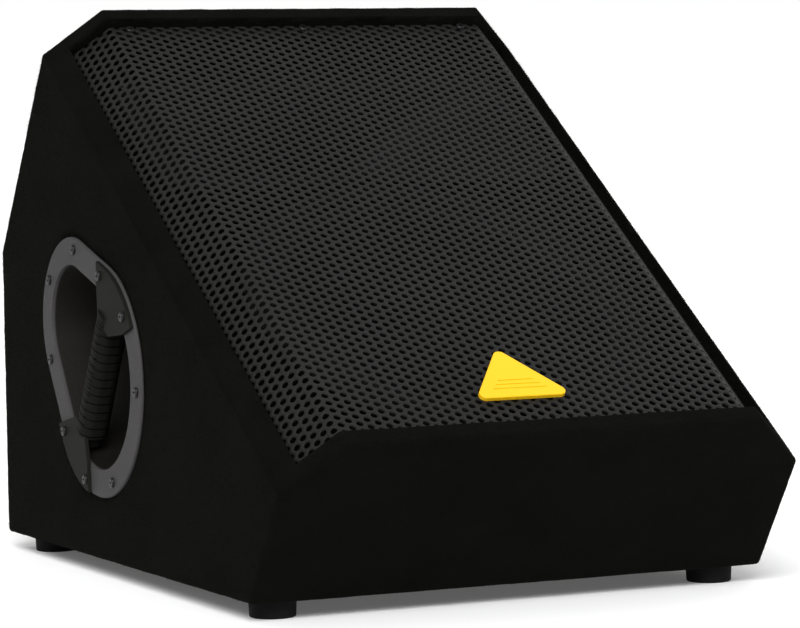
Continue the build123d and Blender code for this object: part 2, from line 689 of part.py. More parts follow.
def speaker_socket(x, y):
    """A locking speaker socket: flange, barrel, and a middle post with an open ring round it."""
    base = PLATE_FLOOR
    body = extrude(RectangleRounded(30, 34, 3), 2.5)
    body = fillet(body.edges().filter_by(lambda e: e.center().Z > 2.49), 1.0)
    body += disc(13.8, -26, 0)
    body -= disc(11.0, -22, 3)
    body += disc(5.0, -22, -4)
    for side in (-1, 1):
        body += block((side * 5 - 3, -0.5, -33), (side * 5 + 3, 0.5, -26))
    return on_plate(Pos(x, y, base) * body)


def jack_socket(x, y):
    """A 6.35 mm jack: square body behind the plate and a threaded nose through it."""
    base = PLATE_FLOOR
    body = block((-8, -8, -25), (8, 8, -PLATE_WALL)) + disc(4.8, -PLATE_WALL, 4.0)
    body -= disc(JACK_RADIUS, 4.0 - JACK_LONG, 5.0)
    return on_plate(Pos(x, y, base) * body)


def jack_nuts():
    nut = extrude(RegularPolygon(7.5, 6), 2.2)
    nut = nut - disc(4.8 + 0.05, -1, 3)
    return group(on_plate(Pos(x, y, PLATE_FLOOR) * nut) for x, y in JACK_PLACES)


def mode_switch():
    """Slide switch body and its slider, at the lower end of its travel."""
    x, y = SWITCH_PLACE
    base = PLATE_FLOOR
    body = block((-7, -12, -14), (7, 12, -PLATE_WALL))
    body -= block((-3.4, -6.4, -8), (3.4, 6.4, 0))
    slider = block((-2.8, -5.8, -7.6), (2.8, 0.6, -4.0)) + block((-2.3, -5.3, -4.0), (2.3, 0.1, 2.0))
    slider = fillet(slider.edges().filter_by(lambda e: e.center().Z > 1.99), 0.5)
    return on_plate(Pos(x, y, base) * body), on_plate(Pos(x, y, base) * slider)


def plate_screws():
    one = screw(3.8, 2.0, 2.0, 16, cross=4.0)
    return group(on_plate(Pos(x, y, FLANGE_PROUD) * one) for x, y in PLATE_SCREWS)


# ---- crossover on the floor of the cabinet ----

CROSSOVER_X, CROSSOVER_Y = 60.0, 110.0
CROSSOVER_LONG, CROSSOVER_WIDE = 150.0, 100.0
STANDOFF = 8.0
PCB_THICK = 1.6
STANDOFFS = [(x, y) for x in (-68.0, 68.0) for y in (-43.0, 43.0)]


def on_board(shape):
    """From the middle of the crossover board's top face."""
    return Pos(CROSSOVER_X, CROSSOVER_Y, FLOOR_TOP + STANDOFF + PCB_THICK) * shape


def crossover_board():
    board = Pos(0, 0, -PCB_THICK / 2) * Box(CROSSOVER_LONG, CROSSOVER_WIDE, PCB_THICK)
    for x, y in STANDOFFS:
        board -= Pos(x, y, 0) * disc(1.6, -5, 5)
    return on_board(board)


def crossover_standoffs():
    post = disc(4.0, -PCB_THICK - STANDOFF, -PCB_THICK) + disc(1.5, -PCB_THICK, 2.5)
    return group(on_board(Pos(x, y, 0) * post) for x, y in STANDOFFS)


def crossover_coils():
    wound = disc(24.0, 2.0, 20.0, inner=12.0) + disc(12.0, 0, 22.0, inner=9.0)
    wound += disc(26.0, 0, 2.0, inner=9.0) + disc(26.0, 20.0, 22.0, inner=9.0)
    return group([on_board(Pos(-42, 18, 0) * wound), on_board(Pos(20, -18, 0) * wound)])


def crossover_capacitors():
    film = Pos(0, 0, 9) * Rot(0, 90, 0) * Cylinder(8, 34)
    film += Pos(0, 0, 1.5) * Box(30, 3, 3)
    return group([on_board(Pos(20, y, 0) * film) for y in (22, 40)] + [on_board(Pos(-40, -36, 0) * film)])


def crossover_resistor():
    body = fillet(block((-24, -5, 1), (24, 5, 10)).edges().filter_by(Axis.X), 1.0)
    legs = [block((x - 1, -1, 0), (x + 1, 1, 1)) for x in (-19, 19)]
    return on_board(Pos(-38, -18, 0) * (body + legs))


def crossover_terminals():
    strip = block((-9, -30, 0), (9, 30, 10))
    for i in range(6):
        strip -= Pos(2, -25 + 10 * i, 10) * disc(2.2, -4, 1)
    return on_board(Pos(62, 0, 0) * strip)


# ---- feet ----

FOOT_PLACES = {
    "front_left": (-FOOT_X, EDGE_Y + FOOT_FRONT),
    "front_right": (FOOT_X, EDGE_Y + FOOT_FRONT),
    "rear_left": (-FOOT_X, DEPTH / 2 - FOOT_REAR),
    "rear_right": (FOOT_X, DEPTH / 2 - FOOT_REAR),
}
FOOT_WELL = 8.0


def foot(x, y):
    """A round rubber foot, slightly tapered, with a well for its screw."""
    body = extrude(Pos(0, 0, FOOT_HEIGHT) * Circle(FOOT_RADIUS), -FOOT_HEIGHT, taper=3)
    body = fillet(body.edges().sort_by(Axis.Z)[0], 1.5)
    body -= disc(6.5, -1, FOOT_WELL)
    body -= disc(2.6, FOOT_WELL - 1, FOOT_HEIGHT + 1)
    return Pos(x, y, 0) * body


def foot_screws():
    one = Pos(0, 0, FOOT_WELL) * Rot(180, 0, 0) * screw(5.0, 3.0, 2.5, 17, cross=5.0)
    return group(Pos(x, y, 0) * one for x, y in FOOT_PLACES.values())


def foot_drill(top):
    """Holes for the foot screws, from the floor up to this height."""
    return [Pos(x, y, 0) * disc(2.6, 0, top) for x, y in FOOT_PLACES.values()]


# ---- inside: cables and damping pad ----

CABLE_RADIUS = 2.5
CABLE_ROUTES = {
    "cable_input": [
        (137.9, 162, 150), (114, 162, 150), (103, 155, 128), (108, 144, 100), (118, 135, 74),
        (118, 135, 46.2),
    ],
    "cable_woofer": [
        (118, 85, 46.2), (118, 85, 70), (122, 64, 92), (127, 36, 104), (131, 3, 115), (133, -32, 122),
        (128, -56, 132), (114, -68.55, 139.97), (92.1, -68.55, 139.97),
    ],
    "cable_driver": [
        (118, 105, 46.2), (118, 105, 70), (98, 118, 91), (70, 146, 109), (36, 176, 133),
        (12, 196.78, 157.91), (12, 180.09, 182.66),
    ],
}


def cable(points):
    """A round cable on straight runs joined by arcs as large as the runs allow."""
    spots = [Vector(*p) for p in points]
    radii = []
    for before, here, after in zip(spots, spots[1:], spots[2:]):
        first, second = here - before, after - here
        shorter = min(first.length, second.length)
        radii.append(0.45 * shorter / tan(radians(first.get_angle(second)) / 2))
    path = FilletPolyline(*spots, radius=radii)
    start = Plane(origin=path @ 0, z_dir=path % 0)
    print("cable bend radii", [round(r, 1) for r in radii], "length", round(path.length, 1))
    return sweep(start * Circle(CABLE_RADIUS), path=path)


def damping_pad():
    """Wadding on the inside of the rear board."""
    face = DEPTH / 2 - CARPET - BOARD
    pad = block((-150, face - 22, FLOOR_TOP + 15), (150, face - 0.2, 215))
    return fillet(pad.edges().filter_by(lambda e: e.center().Y < face - 20), 8)


# ---- assembly ----

def drill(board, cutters):
    for cutter in cutters:
        board -= cutter
    return board


def build():
    """Every sub-part by its node's name."""
    bottom, slant, front, rear = boards()
    board = baffle()
    fixings = handle_screw_places()
    cup_pilots = [on_left(Pos(x, y, 0) * disc(2.0 + HOLE_PLAY, -13, 1)) for x, y, _ in fixings]
    plate_pilots = [on_plate(Pos(x, y, 0) * disc(2.0 + HOLE_PLAY, -14.5, 1)) for x, y in PLATE_SCREWS]
    left = drill(side_board(-1), [handle_opening(0.5), *cup_pilots])
    right = drill(side_board(1), [plate_opening(0.5), *plate_pilots])
    bottom = drill(bottom, foot_drill(FLOOR_TOP - 0.4))
    board = drill(board, [WOOFER_AT * place * disc(2.4 + HOLE_PLAY, -14.5, 1)
                          for place in ring_places(8, WOOFER_SCREW_CIRCLE, 22.5)])
    board = drill(board, [HORN_AT * Pos(x, y, 0) * disc(2.2 + HOLE_PLAY, -14.5, 1) for x, y in HORN_SCREWS])

    shell = drill(carpet_shell(), foot_drill(FOOT_HEIGHT + CARPET) + [
        on_left(extrude(handle_hull(0.2), 5, both=True)),
        on_plate(extrude(RectangleRounded(PLATE_LONG + 0.4, PLATE_TALL + 0.4, 12.2), 5, both=True)),
    ])
    wrap, carpet_left, carpet_right = carpet_pieces(shell)
    cup, bar, grip, handle_fixings = handle_parts()
    switch, slider = mode_switch()

    parts = {
        "side_board_left": left,
        "side_board_right": right,
        "bottom_board": bottom,
        "rear_slant_board": slant,
        "lower_front_board": front,
        "rear_board": rear,
        "baffle_board": board,
        "battens": group([*baffle_battens(), *grille_battens()]),
        "carpet_wrap": wrap,
        "carpet_left": carpet_left,
        "carpet_right": carpet_right,
        "grille": grille(),
        "grille_screws": grille_screws(),
        "badge": badge(),
        "woofer_basket": woofer_basket(),
        "woofer_gasket": woofer_gasket(),
        "woofer_screws": woofer_screws(),
        "woofer_top_plate": woofer_top_plate(),
        "woofer_magnet": woofer_magnet(),
        "woofer_back_plate": woofer_back_plate(),
        "voice_coil": voice_coil(),
        "woofer_cone": woofer_cone(),
        "woofer_dust_cap": woofer_dust_cap(),
        "woofer_surround": woofer_surround(),
        "woofer_spider": woofer_spider(),
        "woofer_terminals": woofer_terminals(),
        "horn": horn(),
        "horn_screws": horn_screws(),
        "driver_pole": driver_pole(),
        "driver_magnet": driver_magnet(),
        "driver_rear_plate": driver_rear_plate(),
        "driver_diaphragm": driver_diaphragm(),
        "driver_suspension": driver_suspension(),
        "driver_rear_cover": driver_rear_cover(),
        "crossover_board": crossover_board(),
        "crossover_standoffs": crossover_standoffs(),
        "crossover_coils": crossover_coils(),
        "crossover_capacitors": crossover_capacitors(),
        "crossover_resistor": crossover_resistor(),
        "crossover_terminals": crossover_terminals(),
        "handle_cup": cup,
        "handle_bar": bar,
        "handle_grip": grip,
        "handle_screws": handle_fixings,
        "input_plate": input_plate(),
        "input_plate_screws": plate_screws(),
        "jack_nuts": jack_nuts(),
        "mode_switch": switch,
        "mode_slider": slider,
        "damping_pad": damping_pad(),
        "foot_screws": foot_screws(),
    }
    for name, points in CABLE_ROUTES.items():
        parts[name] = cable(points)
    parts["speaker_sockets"] = group(speaker_socket(x, y) for x, y in SOCKET_PLACES)
    parts["jack_sockets"] = group(jack_socket(x, y) for x, y in JACK_PLACES)
    for name, (x, y) in FOOT_PLACES.items():
        parts[f"foot_{name}"] = foot(x, y)
    return parts


if __name__ == "__main__":
    os.makedirs("parts", exist_ok=True)
    for name, shape in build().items():
        export_step(shape, f"parts/{name}.step")
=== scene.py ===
"""Stage monitor wedge: the looks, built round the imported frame. Metres, +Z up, the sloped face towards -Y."""

import json
from math import cos, pi, radians, sin, sqrt, tan

import bmesh
import bpy
import numpy as np
from mathutils import Matrix, Vector, noise
from mathutils.bvhtree import BVHTree


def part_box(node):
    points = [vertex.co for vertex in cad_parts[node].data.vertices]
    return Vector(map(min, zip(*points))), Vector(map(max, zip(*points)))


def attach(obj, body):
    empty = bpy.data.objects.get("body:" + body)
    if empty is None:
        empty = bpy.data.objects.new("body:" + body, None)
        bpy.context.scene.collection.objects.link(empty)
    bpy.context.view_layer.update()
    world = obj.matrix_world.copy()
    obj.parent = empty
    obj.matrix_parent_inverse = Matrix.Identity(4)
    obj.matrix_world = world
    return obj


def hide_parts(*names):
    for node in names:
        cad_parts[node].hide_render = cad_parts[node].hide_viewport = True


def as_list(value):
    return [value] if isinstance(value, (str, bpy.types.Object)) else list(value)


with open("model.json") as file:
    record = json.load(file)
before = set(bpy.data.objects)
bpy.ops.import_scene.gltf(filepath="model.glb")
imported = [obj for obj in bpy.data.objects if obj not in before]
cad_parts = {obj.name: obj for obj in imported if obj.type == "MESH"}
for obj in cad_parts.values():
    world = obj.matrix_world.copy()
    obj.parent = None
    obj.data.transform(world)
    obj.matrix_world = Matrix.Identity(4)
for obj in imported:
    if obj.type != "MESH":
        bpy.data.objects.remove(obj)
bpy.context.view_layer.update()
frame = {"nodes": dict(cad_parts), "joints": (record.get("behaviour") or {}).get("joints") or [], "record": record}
NODES = frame["nodes"]
SEED = 11

# ---- the slope's own axes: X across, up the slope, and out of it ----

OUT = Vector(next(j for j in frame["joints"] if j["name"] == "woofer_travel")["axis"]).normalized()
UP = Vector((0, OUT.z, -OUT.y))


def on_slope(x, along, out):
    """A point from its place across, up and out of the slope."""
    return Vector((x, 0, 0)) + UP * along + OUT * out


def slope_box(node):
    """A CAD node's lowest and highest corner along the slope's axes."""
    places = np.array([v.co for v in NODES[node].data.vertices])
    axes = np.array([(1, 0, 0), UP, OUT])
    turned = places @ axes.T
    return turned.min(0), turned.max(0)


# ---- camera and light ----

CAMERA_AT = (-1.1769, -2.5393, 0.3647)
CAMERA_YAW = 25.133
CAMERA_DOWN = 3.49
CAMERA_ROLL = -0.961
CAMERA_LENS = 166.9


def add_camera():
    yaw, down, roll = (radians(a) for a in (CAMERA_YAW, CAMERA_DOWN, CAMERA_ROLL))
    ahead = Vector((sin(yaw) * cos(down), cos(yaw) * cos(down), -sin(down)))
    level = ahead.cross(Vector((0, 0, 1))).normalized()
    above = level.cross(ahead)
    right = level * cos(roll) + above * sin(roll)
    top = above * cos(roll) - level * sin(roll)
    data = bpy.data.cameras.new("camera")
    data.lens, data.sensor_width = CAMERA_LENS, 36
    data.clip_start, data.clip_end = 0.05, 60
    camera = bpy.data.objects.new("camera", data)
    camera.matrix_world = Matrix((right, top, -ahead)).transposed().to_4x4()
    camera.location = CAMERA_AT
    bpy.context.scene.collection.objects.link(camera)
    bpy.context.scene.camera = camera


def area_light(name, at, towards, size, power):
    """A soft rectangular light."""
    data = bpy.data.lights.new(name, "AREA")
    data.shape, data.size, data.size_y, data.energy = "RECTANGLE", size[0], size[1], power
    light = bpy.data.objects.new(name, data)
    light.location = at
    light.rotation_euler = (Vector(towards) - Vector(at)).to_track_quat("-Z", "Y").to_euler()
    bpy.context.scene.collection.objects.link(light)


SUN_SPREAD = radians(38)
SUN_POWER = 3.5
DOME_LOW = 0.3             # the dome's brightness at the horizon
DOME_HIGH = 0.85           # and overhead
FLOOR_HALF = 30.0
FLOOR_GLOW = 0.1           # keeps the floor near the object white


def soft_sun(name, towards, spread, power):
    """An even light from one direction, as soft as a large panel."""
    data = bpy.data.lights.new(name, "SUN")
    data.angle, data.energy = spread, power
    light = bpy.data.objects.new(name, data)
    light.rotation_euler = Vector(towards).to_track_quat("Z", "Y").to_euler()
    bpy.context.scene.collection.objects.link(light)


def add_dome():
    """A white background, and light that comes mostly from above."""
    world = bpy.data.worlds.new("studio")
    world.use_nodes = True
    tree = world.node_tree
    seen = tree.nodes["Background"]
    seen.inputs["Color"].default_value = (1, 1, 1, 1)
    split = tree.nodes.new("ShaderNodeSeparateXYZ")
    tree.links.new(tree.nodes.new("ShaderNodeTexCoord").outputs["Generated"], split.inputs["Vector"])
    level = tree.nodes.new("ShaderNodeMapRange")
    level.interpolation_type = "SMOOTHSTEP"
    level.inputs["To Min"].default_value = DOME_LOW
    level.inputs["To Max"].default_value = DOME_HIGH
    tree.links.new(split.outputs["Z"], level.inputs["Value"])
    lit = tree.nodes.new("ShaderNodeBackground")
    tree.links.new(level.outputs["Result"], lit.inputs["Strength"])
    mix = tree.nodes.new("ShaderNodeMixShader")
    tree.links.new(tree.nodes.new("ShaderNodeLightPath").outputs["Is Camera Ray"], mix.inputs["Fac"])
    tree.links.new(lit.outputs["Background"], mix.inputs[1])
    tree.links.new(seen.outputs["Background"], mix.inputs[2])
    tree.links.new(mix.outputs["Shader"], tree.nodes["World Output"].inputs["Surface"])
    bpy.context.scene.world = world


def add_studio():
    """A white floor, a wide soft light from the front left, and a faint strip on the right."""
    add_dome()
    bpy.context.scene.view_settings.view_transform = "Standard"

    mesh = bpy.data.meshes.new("floor")
    corners = [(x, y, 0) for x, y in ((-1, -1), (1, -1), (1, 1), (-1, 1))]
    mesh.from_pydata([Vector(c) * FLOOR_HALF for c in corners], [], [(0, 1, 2, 3)])
    floor = bpy.data.objects.new("floor", mesh)
    bpy.context.scene.collection.objects.link(floor)
    mesh.materials.append(plain("floor_white", (0.97, 0.97, 0.97), rough=0.6, specular=0.2, glow=FLOOR_GLOW))

    soft_sun("soft_box", (-2.0, -3.4, 3.2), SUN_SPREAD, SUN_POWER)
    area_light("right_strip", (1.9, 0.6, 1.2), (0.1, 0, 0.3), (0.5, 1.6), 6)


# ---- material helpers ----

def new_material(name):
    made = bpy.data.materials.new(name)
    made.use_nodes = True
    return made, made.node_tree, made.node_tree.nodes["Principled BSDF"]


def plain(name, colour, rough, specular=0.5, glow=0.0):
    """A smooth surface of one colour, for the stage only."""
    made, _, shader = new_material(name)
    shader.inputs["Base Color"].default_value = (*colour, 1)
    shader.inputs["Roughness"].default_value = rough
    shader.inputs["Specular IOR Level"].default_value = specular
    shader.inputs["Emission Color"].default_value = (1, 1, 1, 1)
    shader.inputs["Emission Strength"].default_value = glow
    return made


def object_space(tree):
    return tree.nodes.new("ShaderNodeTexCoord").outputs["Object"]


def noise_node(tree, scale, detail=3.0, rough=0.55, stretch=None):
    """Noise in object space, with about this many features to the metre."""
    node = tree.nodes.new("ShaderNodeTexNoise")
    node.inputs["Scale"].default_value = scale
    node.inputs["Detail"].default_value = detail
    node.inputs["Roughness"].default_value = rough
    source = object_space(tree)
    if stretch:
        mapping = tree.nodes.new("ShaderNodeMapping")
        mapping.inputs["Scale"].default_value = stretch
        tree.links.new(source, mapping.inputs["Vector"])
        source = mapping.outputs["Vector"]
    tree.links.new(source, node.inputs["Vector"])
    return node.outputs["Fac"]


def ramp(tree, source, stops):
    """Maps a value to a colour or grey through stops of (place, colour)."""
    node = tree.nodes.new("ShaderNodeValToRGB")
    elements = node.color_ramp.elements
    while len(elements) < len(stops):
        elements.new(0.5)
    for element, (place, colour) in zip(elements, stops):
        element.position = place
        element.color = (*colour, 1) if len(colour) == 3 else colour
    tree.links.new(source, node.inputs["Fac"])
    return node.outputs["Color"]


def grey(value):
    return (value, value, value)


def bump(tree, shader, height, distance, strength=1.0, under=None):
    """A bump of this height in metres, on top of an earlier one if given."""
    node = tree.nodes.new("ShaderNodeBump")
    node.inputs["Distance"].default_value = distance
    node.inputs["Strength"].default_value = strength
    tree.links.new(height, node.inputs["Height"])
    if under:
        tree.links.new(under, node.inputs["Normal"])
    tree.links.new(node.outputs["Normal"], shader.inputs["Normal"])
    return node.outputs["Normal"]


def surface(name, dark, light, rough, grain, depth, patch=9.0, metallic=0.0, specular=0.5, sheen=0.0,
            detail=4.0, stretch=None, coat=0.0):
    """The common finish: mottled colour, uneven roughness, and a fine grain with a coarser swell under it."""
    made, tree, shader = new_material(name)
    blotch = noise_node(tree, patch, 4.0)
    fine = noise_node(tree, grain, detail, stretch=stretch)
    tree.links.new(ramp(tree, blotch, [(0.3, dark), (0.7, light)]), shader.inputs["Base Color"])
    low, high = max(rough - 0.06, 0.02), min(rough + 0.06, 1.0)
    tree.links.new(ramp(tree, fine, [(0.3, grey(low)), (0.7, grey(high))]), shader.inputs["Roughness"])
    swell = bump(tree, shader, noise_node(tree, grain / 6, 2.0), depth * 0.6)
    bump(tree, shader, fine, depth, under=swell)
    shader.inputs["Metallic"].default_value = metallic
    shader.inputs["Specular IOR Level"].default_value = specular
    shader.inputs["Sheen Weight"].default_value = sheen
    shader.inputs["Coat Weight"].default_value = coat
    return made


# ---- materials ----

HANDLE_GREY = (0.042, 0.040, 0.041)
# the bowl's near-black: painted shade of the recess, not a different plastic
BOWL_PAINTED_SHADE = (0.0055, 0.005, 0.0042)
GROOVE_PITCH = 0.0074      # between the grip's grooves
GROOVE_DEEP = 0.0008
BOWL_SHADE_START = 0.0016      # how deep the flange's face goes before the bowl and its painted shade begin


def carpet_material():
    """Black needle felt: matted fibres, with a fine speckle of painted glint added to the colour."""
    made, tree, shader = new_material("carpet_felt_painted_glint")
    blotch = noise_node(tree, 22.0, 4.0)
    fibre = noise_node(tree, 1400.0, 3.0, 0.7)
    tuft = noise_node(tree, 330.0, 3.0, 0.6)
    base = ramp(tree, blotch, [(0.3, (0.0022, 0.0023, 0.0017)), (0.7, (0.0034, 0.0035, 0.0027))])
    # painted glint: random fibre-sized speckles of lighter colour added to the base colour
    painted_glint = ramp(tree, fibre, [(0.54, (0.0, 0.0, 0.0)), (0.8, (0.005, 0.005, 0.0042))])
    mix = tree.nodes.new("ShaderNodeMix")
    mix.data_type, mix.blend_type = "RGBA", "ADD"
    mix.inputs["Factor"].default_value = 1.0
    tree.links.new(base, mix.inputs["A"])
    tree.links.new(painted_glint, mix.inputs["B"])
    tree.links.new(mix.outputs["Result"], shader.inputs["Base Color"])
    shader.inputs["Roughness"].default_value = 1.0
    shader.inputs["Specular IOR Level"].default_value = 0.02
    shader.inputs["Sheen Weight"].default_value = 0.004
    shader.inputs["Sheen Roughness"].default_value = 0.6
    coarse = bump(tree, shader, tuft, 0.0012)
    bump(tree, shader, fibre, 0.0006, under=coarse)
    return made


def handle_material():
    """The handle's moulding: a grained grey flange, and a bowl behind it darkened to near-black with painted
    shade.
    """
    made = surface("grained_plastic_bowl_shade", HANDLE_GREY, (0.052, 0.050, 0.051), 0.6, 1500.0, 0.0004, specular=0.1)
    tree = made.node_tree
    shader = tree.nodes["Principled BSDF"]
    split = tree.nodes.new("ShaderNodeSeparateXYZ")
    tree.links.new(object_space(tree), split.inputs["Vector"])
    # painted shade: from a little behind the flange's face the colour fades to near-black inside the bowl
    depth = tree.nodes.new("ShaderNodeMapRange")
    depth.inputs["From Min"].default_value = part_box("handle_cup")[0][0] + BOWL_SHADE_START
    depth.inputs["From Max"].default_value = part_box("handle_cup")[0][0] + 2 * BOWL_SHADE_START
    tree.links.new(split.outputs["X"], depth.inputs["Value"])
    mix = tree.nodes.new("ShaderNodeMix")
    mix.data_type = "RGBA"
    tree.links.new(depth.outputs["Result"], mix.inputs["Factor"])
    tree.links.new(shader.inputs["Base Color"].links[0].from_socket, mix.inputs["A"])
    mix.inputs["B"].default_value = (*BOWL_PAINTED_SHADE, 1)
    tree.links.new(mix.outputs["Result"], shader.inputs["Base Color"])
    return made


def grip_material():
    """The grip's rubber, with thin grooves across it: bumped, and darkened with painted shade."""
    made = surface("grip_rubber", (0.006, 0.006, 0.0053), (0.008, 0.008, 0.0072), 0.6, 1800.0, 0.0002,
                   specular=0.03)
    tree = made.node_tree
    shader = tree.nodes["Principled BSDF"]
    along = tree.nodes.new("ShaderNodeVectorMath")
    along.operation = "DOT_PRODUCT"
    along.inputs[1].default_value = OUT / GROOVE_PITCH
    tree.links.new(object_space(tree), along.inputs[0])
    place = tree.nodes.new("ShaderNodeMath")
    place.operation = "FRACT"
    tree.links.new(along.outputs["Value"], place.inputs[0])
    # the grooves' profile, used as the bump's height and as a mask of painted shade that darkens the colour inside
    # each groove
    groove_profile_and_shade = ramp(tree, place.outputs["Value"], [(0.0, grey(1.0)), (0.82, grey(1.0)), (0.88, grey(0.0)),
                                                  (0.94, grey(0.0)), (1.0, grey(1.0))])
    mix = tree.nodes.new("ShaderNodeMix")
    mix.data_type, mix.blend_type = "RGBA", "MULTIPLY"
    mix.inputs["Factor"].default_value = 0.85
    tree.links.new(shader.inputs["Base Color"].links[0].from_socket, mix.inputs["A"])
    tree.links.new(groove_profile_and_shade, mix.inputs["B"])
    tree.links.new(mix.outputs["Result"], shader.inputs["Base Color"])
    bump(tree, shader, groove_profile_and_shade, GROOVE_DEEP, under=shader.inputs["Normal"].links[0].from_socket)
    return made


def build_materials():
    return {
        "carpet": carpet_material(),
        "birch_ply": surface("birch_veneer", (0.42, 0.29, 0.17), (0.6, 0.45, 0.28), 0.55, 700.0, 0.0002,
                             patch=5.0, specular=0.3, stretch=(1, 0.12, 0.12)),
        "black_paint": surface("matt_black_paint", grey(0.0008), grey(0.0014), 0.9, 900.0, 0.0002,
                               specular=0.03),
        "grille_steel": surface("powder_coat", (0.0072, 0.0074, 0.0068), (0.0098, 0.01, 0.0093), 0.5, 1600.0,
                                0.00012, specular=0.16),
        "badge_yellow": surface("yellow_lacquer", (0.8, 0.46, 0.004), (0.86, 0.5, 0.006), 0.42, 1200.0,
                                0.00004, specular=0.3, coat=0.05),
        "handle_plastic": handle_material(),
        "bar_plastic": surface("satin_plastic", (0.009, 0.009, 0.0083), (0.0115, 0.0115, 0.0106), 0.5, 2200.0,
                               0.0001, specular=0.02),
        "grip_rubber": grip_material(),
        "black_screw": surface("black_oxide", grey(0.008), grey(0.014), 0.35, 1500.0, 0.00005,
                               metallic=0.3, specular=0.3),
        "foot_rubber": surface("foot_rubber", grey(0.0025), grey(0.004), 0.8, 1200.0, 0.0002, specular=0.15),
        "zinc_screw": surface("zinc_plate", grey(0.5), grey(0.62), 0.3, 900.0, 0.00004, metallic=1.0),
        "basket_steel": surface("basket_paint", grey(0.003), grey(0.005), 0.5, 1200.0, 0.0001, specular=0.12),
        "gasket_rubber": surface("gasket_rubber", grey(0.003), grey(0.005), 0.8, 900.0, 0.0003, specular=0.1),
        "plated_steel": surface("plated_steel", grey(0.45), grey(0.56), 0.32, 1100.0, 0.00005, metallic=1.0),
        "ferrite": surface("ferrite", grey(0.03), grey(0.05), 0.75, 1500.0, 0.0002, specular=0.3),
        "coil_copper": surface("copper_winding", (0.5, 0.2, 0.08), (0.66, 0.3, 0.13), 0.35, 3000.0, 0.0002,
                               metallic=0.9, stretch=(1, 1, 0.2)),
        "paper_cone": surface("paper_pulp", grey(0.0022), grey(0.0038), 0.9, 900.0, 0.0004, specular=0.06,
                              sheen=0.005),
        "doped_cloth": surface("doped_cloth", grey(0.0025), grey(0.004), 0.55, 1500.0, 0.0002, specular=0.12),
        "spider_cloth": surface("phenolic_cloth", (0.5, 0.34, 0.13), (0.62, 0.44, 0.18), 0.8, 1800.0, 0.0004,
                                specular=0.2),
        "horn_plastic": surface("horn_plastic", grey(0.0025), grey(0.004), 0.55, 1600.0, 0.0002,
                                specular=0.12),
        "diaphragm_metal": surface("diaphragm_metal", grey(0.6), grey(0.7), 0.28, 900.0, 0.00003,
                                   metallic=1.0),
        "pcb_green": surface("solder_mask", (0.01, 0.09, 0.04), (0.015, 0.12, 0.05), 0.3, 700.0, 0.00003,
                             coat=0.3),
        "capacitor_film": surface("capacitor_film", (0.55, 0.36, 0.04), (0.66, 0.44, 0.06), 0.3, 800.0,
                                  0.00005),
        "ceramic": surface("ceramic", (0.62, 0.6, 0.54), (0.74, 0.72, 0.66), 0.8, 1500.0, 0.0002),
        "terminal_plastic": surface("terminal_plastic", (0.02, 0.12, 0.05), (0.03, 0.16, 0.07), 0.4, 900.0,
                                    0.0001),
        "plate_plastic": surface("plate_plastic", grey(0.014), grey(0.02), 0.55, 1500.0, 0.0003),
        "socket_plastic": surface("socket_plastic", grey(0.008), grey(0.013), 0.25, 900.0, 0.00005),
        "nut_nickel": surface("nickel_plate", grey(0.62), grey(0.72), 0.18, 1200.0, 0.00003, metallic=1.0),
        "slider_white": surface("slider_white", grey(0.6), grey(0.7), 0.4, 900.0, 0.00005),
        "cable_sheath": surface("cable_sheath", grey(0.011), grey(0.02), 0.45, 1400.0, 0.0001),
        "wadding": surface("wadding", grey(0.62), grey(0.78), 0.95, 500.0, 0.0015, specular=0.1, sheen=0.3),
    }


# ---- building meshes ----

def add_piece(name, verts, faces, material, body="cabinet", smooth_under=35.0):
    """A new piece of the object, smooth except at sharp edges."""
    mesh = bpy.data.meshes.new(name)
    mesh.from_pydata(verts, [], faces)
    mesh.validate()
    mesh.materials.append(material)
    mesh.shade_smooth()
    mesh.set_sharp_from_angle(angle=radians(smooth_under))
    piece = bpy.data.objects.new(name, mesh)
    bpy.context.scene.collection.objects.link(piece)
    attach(piece, body)
    return piece


# ---- grille: a perforated sheet with a 45 degree fold along both long edges ----

SHEET = 0.0012
FOLD_RADIUS = 0.0056       # of the sheet's middle
FOLD_ANGLE = radians(45)
HOLE_PITCH = 0.008         # along the slope, and between any two neighbours
HOLE_RADIUS = 0.00262
EDGE_ROLL = 0.00016        # the coated edge of each hole
HOLE_SIDES = 12
FOLD_STEPS = 4


def perforated_sheet(half_wide, low, high, pitch):
    """The flat sheet as one layer of faces: a hexagonal cell round each hole, clipped to straight edges."""
    column = pitch * sin(radians(60))
    columns = int(half_wide / column) + 2
    rows = int(round((high - low) / pitch))
    flat = bmesh.new()
    rim, corner = [], []
    for k in range(HOLE_SIDES):
        angle = 2 * pi * k / HOLE_SIDES
        rim.append((HOLE_RADIUS * cos(angle), HOLE_RADIUS * sin(angle)))
        reach = pitch / 2 / cos(radians(30)) if k % 2 == 0 else pitch / 2
        corner.append((reach * cos(angle), reach * sin(angle)))
    for c in range(-columns, columns + 1):
        for r in range(-1, rows + 2):
            x, y = c * column, low + (r + (0.5 if c % 2 else 0.0)) * pitch
            inner = [flat.verts.new((x + a, y + b, 0)) for a, b in rim]
            outer = [flat.verts.new((x + a, y + b, 0)) for a, b in corner]
            for k in range(HOLE_SIDES):
                n = (k + 1) % HOLE_SIDES
                flat.faces.new((inner[k], outer[k], outer[n], inner[n]))
    bmesh.ops.remove_doubles(flat, verts=flat.verts, dist=1e-5)
    for point, away in (((0, low, 0), (0, -1, 0)), ((0, high, 0), (0, 1, 0)),
                        ((-half_wide, 0, 0), (-1, 0, 0)), ((half_wide, 0, 0), (1, 0, 0))):
        everything = flat.verts[:] + flat.edges[:] + flat.faces[:]
        bmesh.ops.bisect_plane(flat, geom=everything, dist=1e-6, plane_co=point, plane_no=away,
                               clear_outer=True)
    return flat


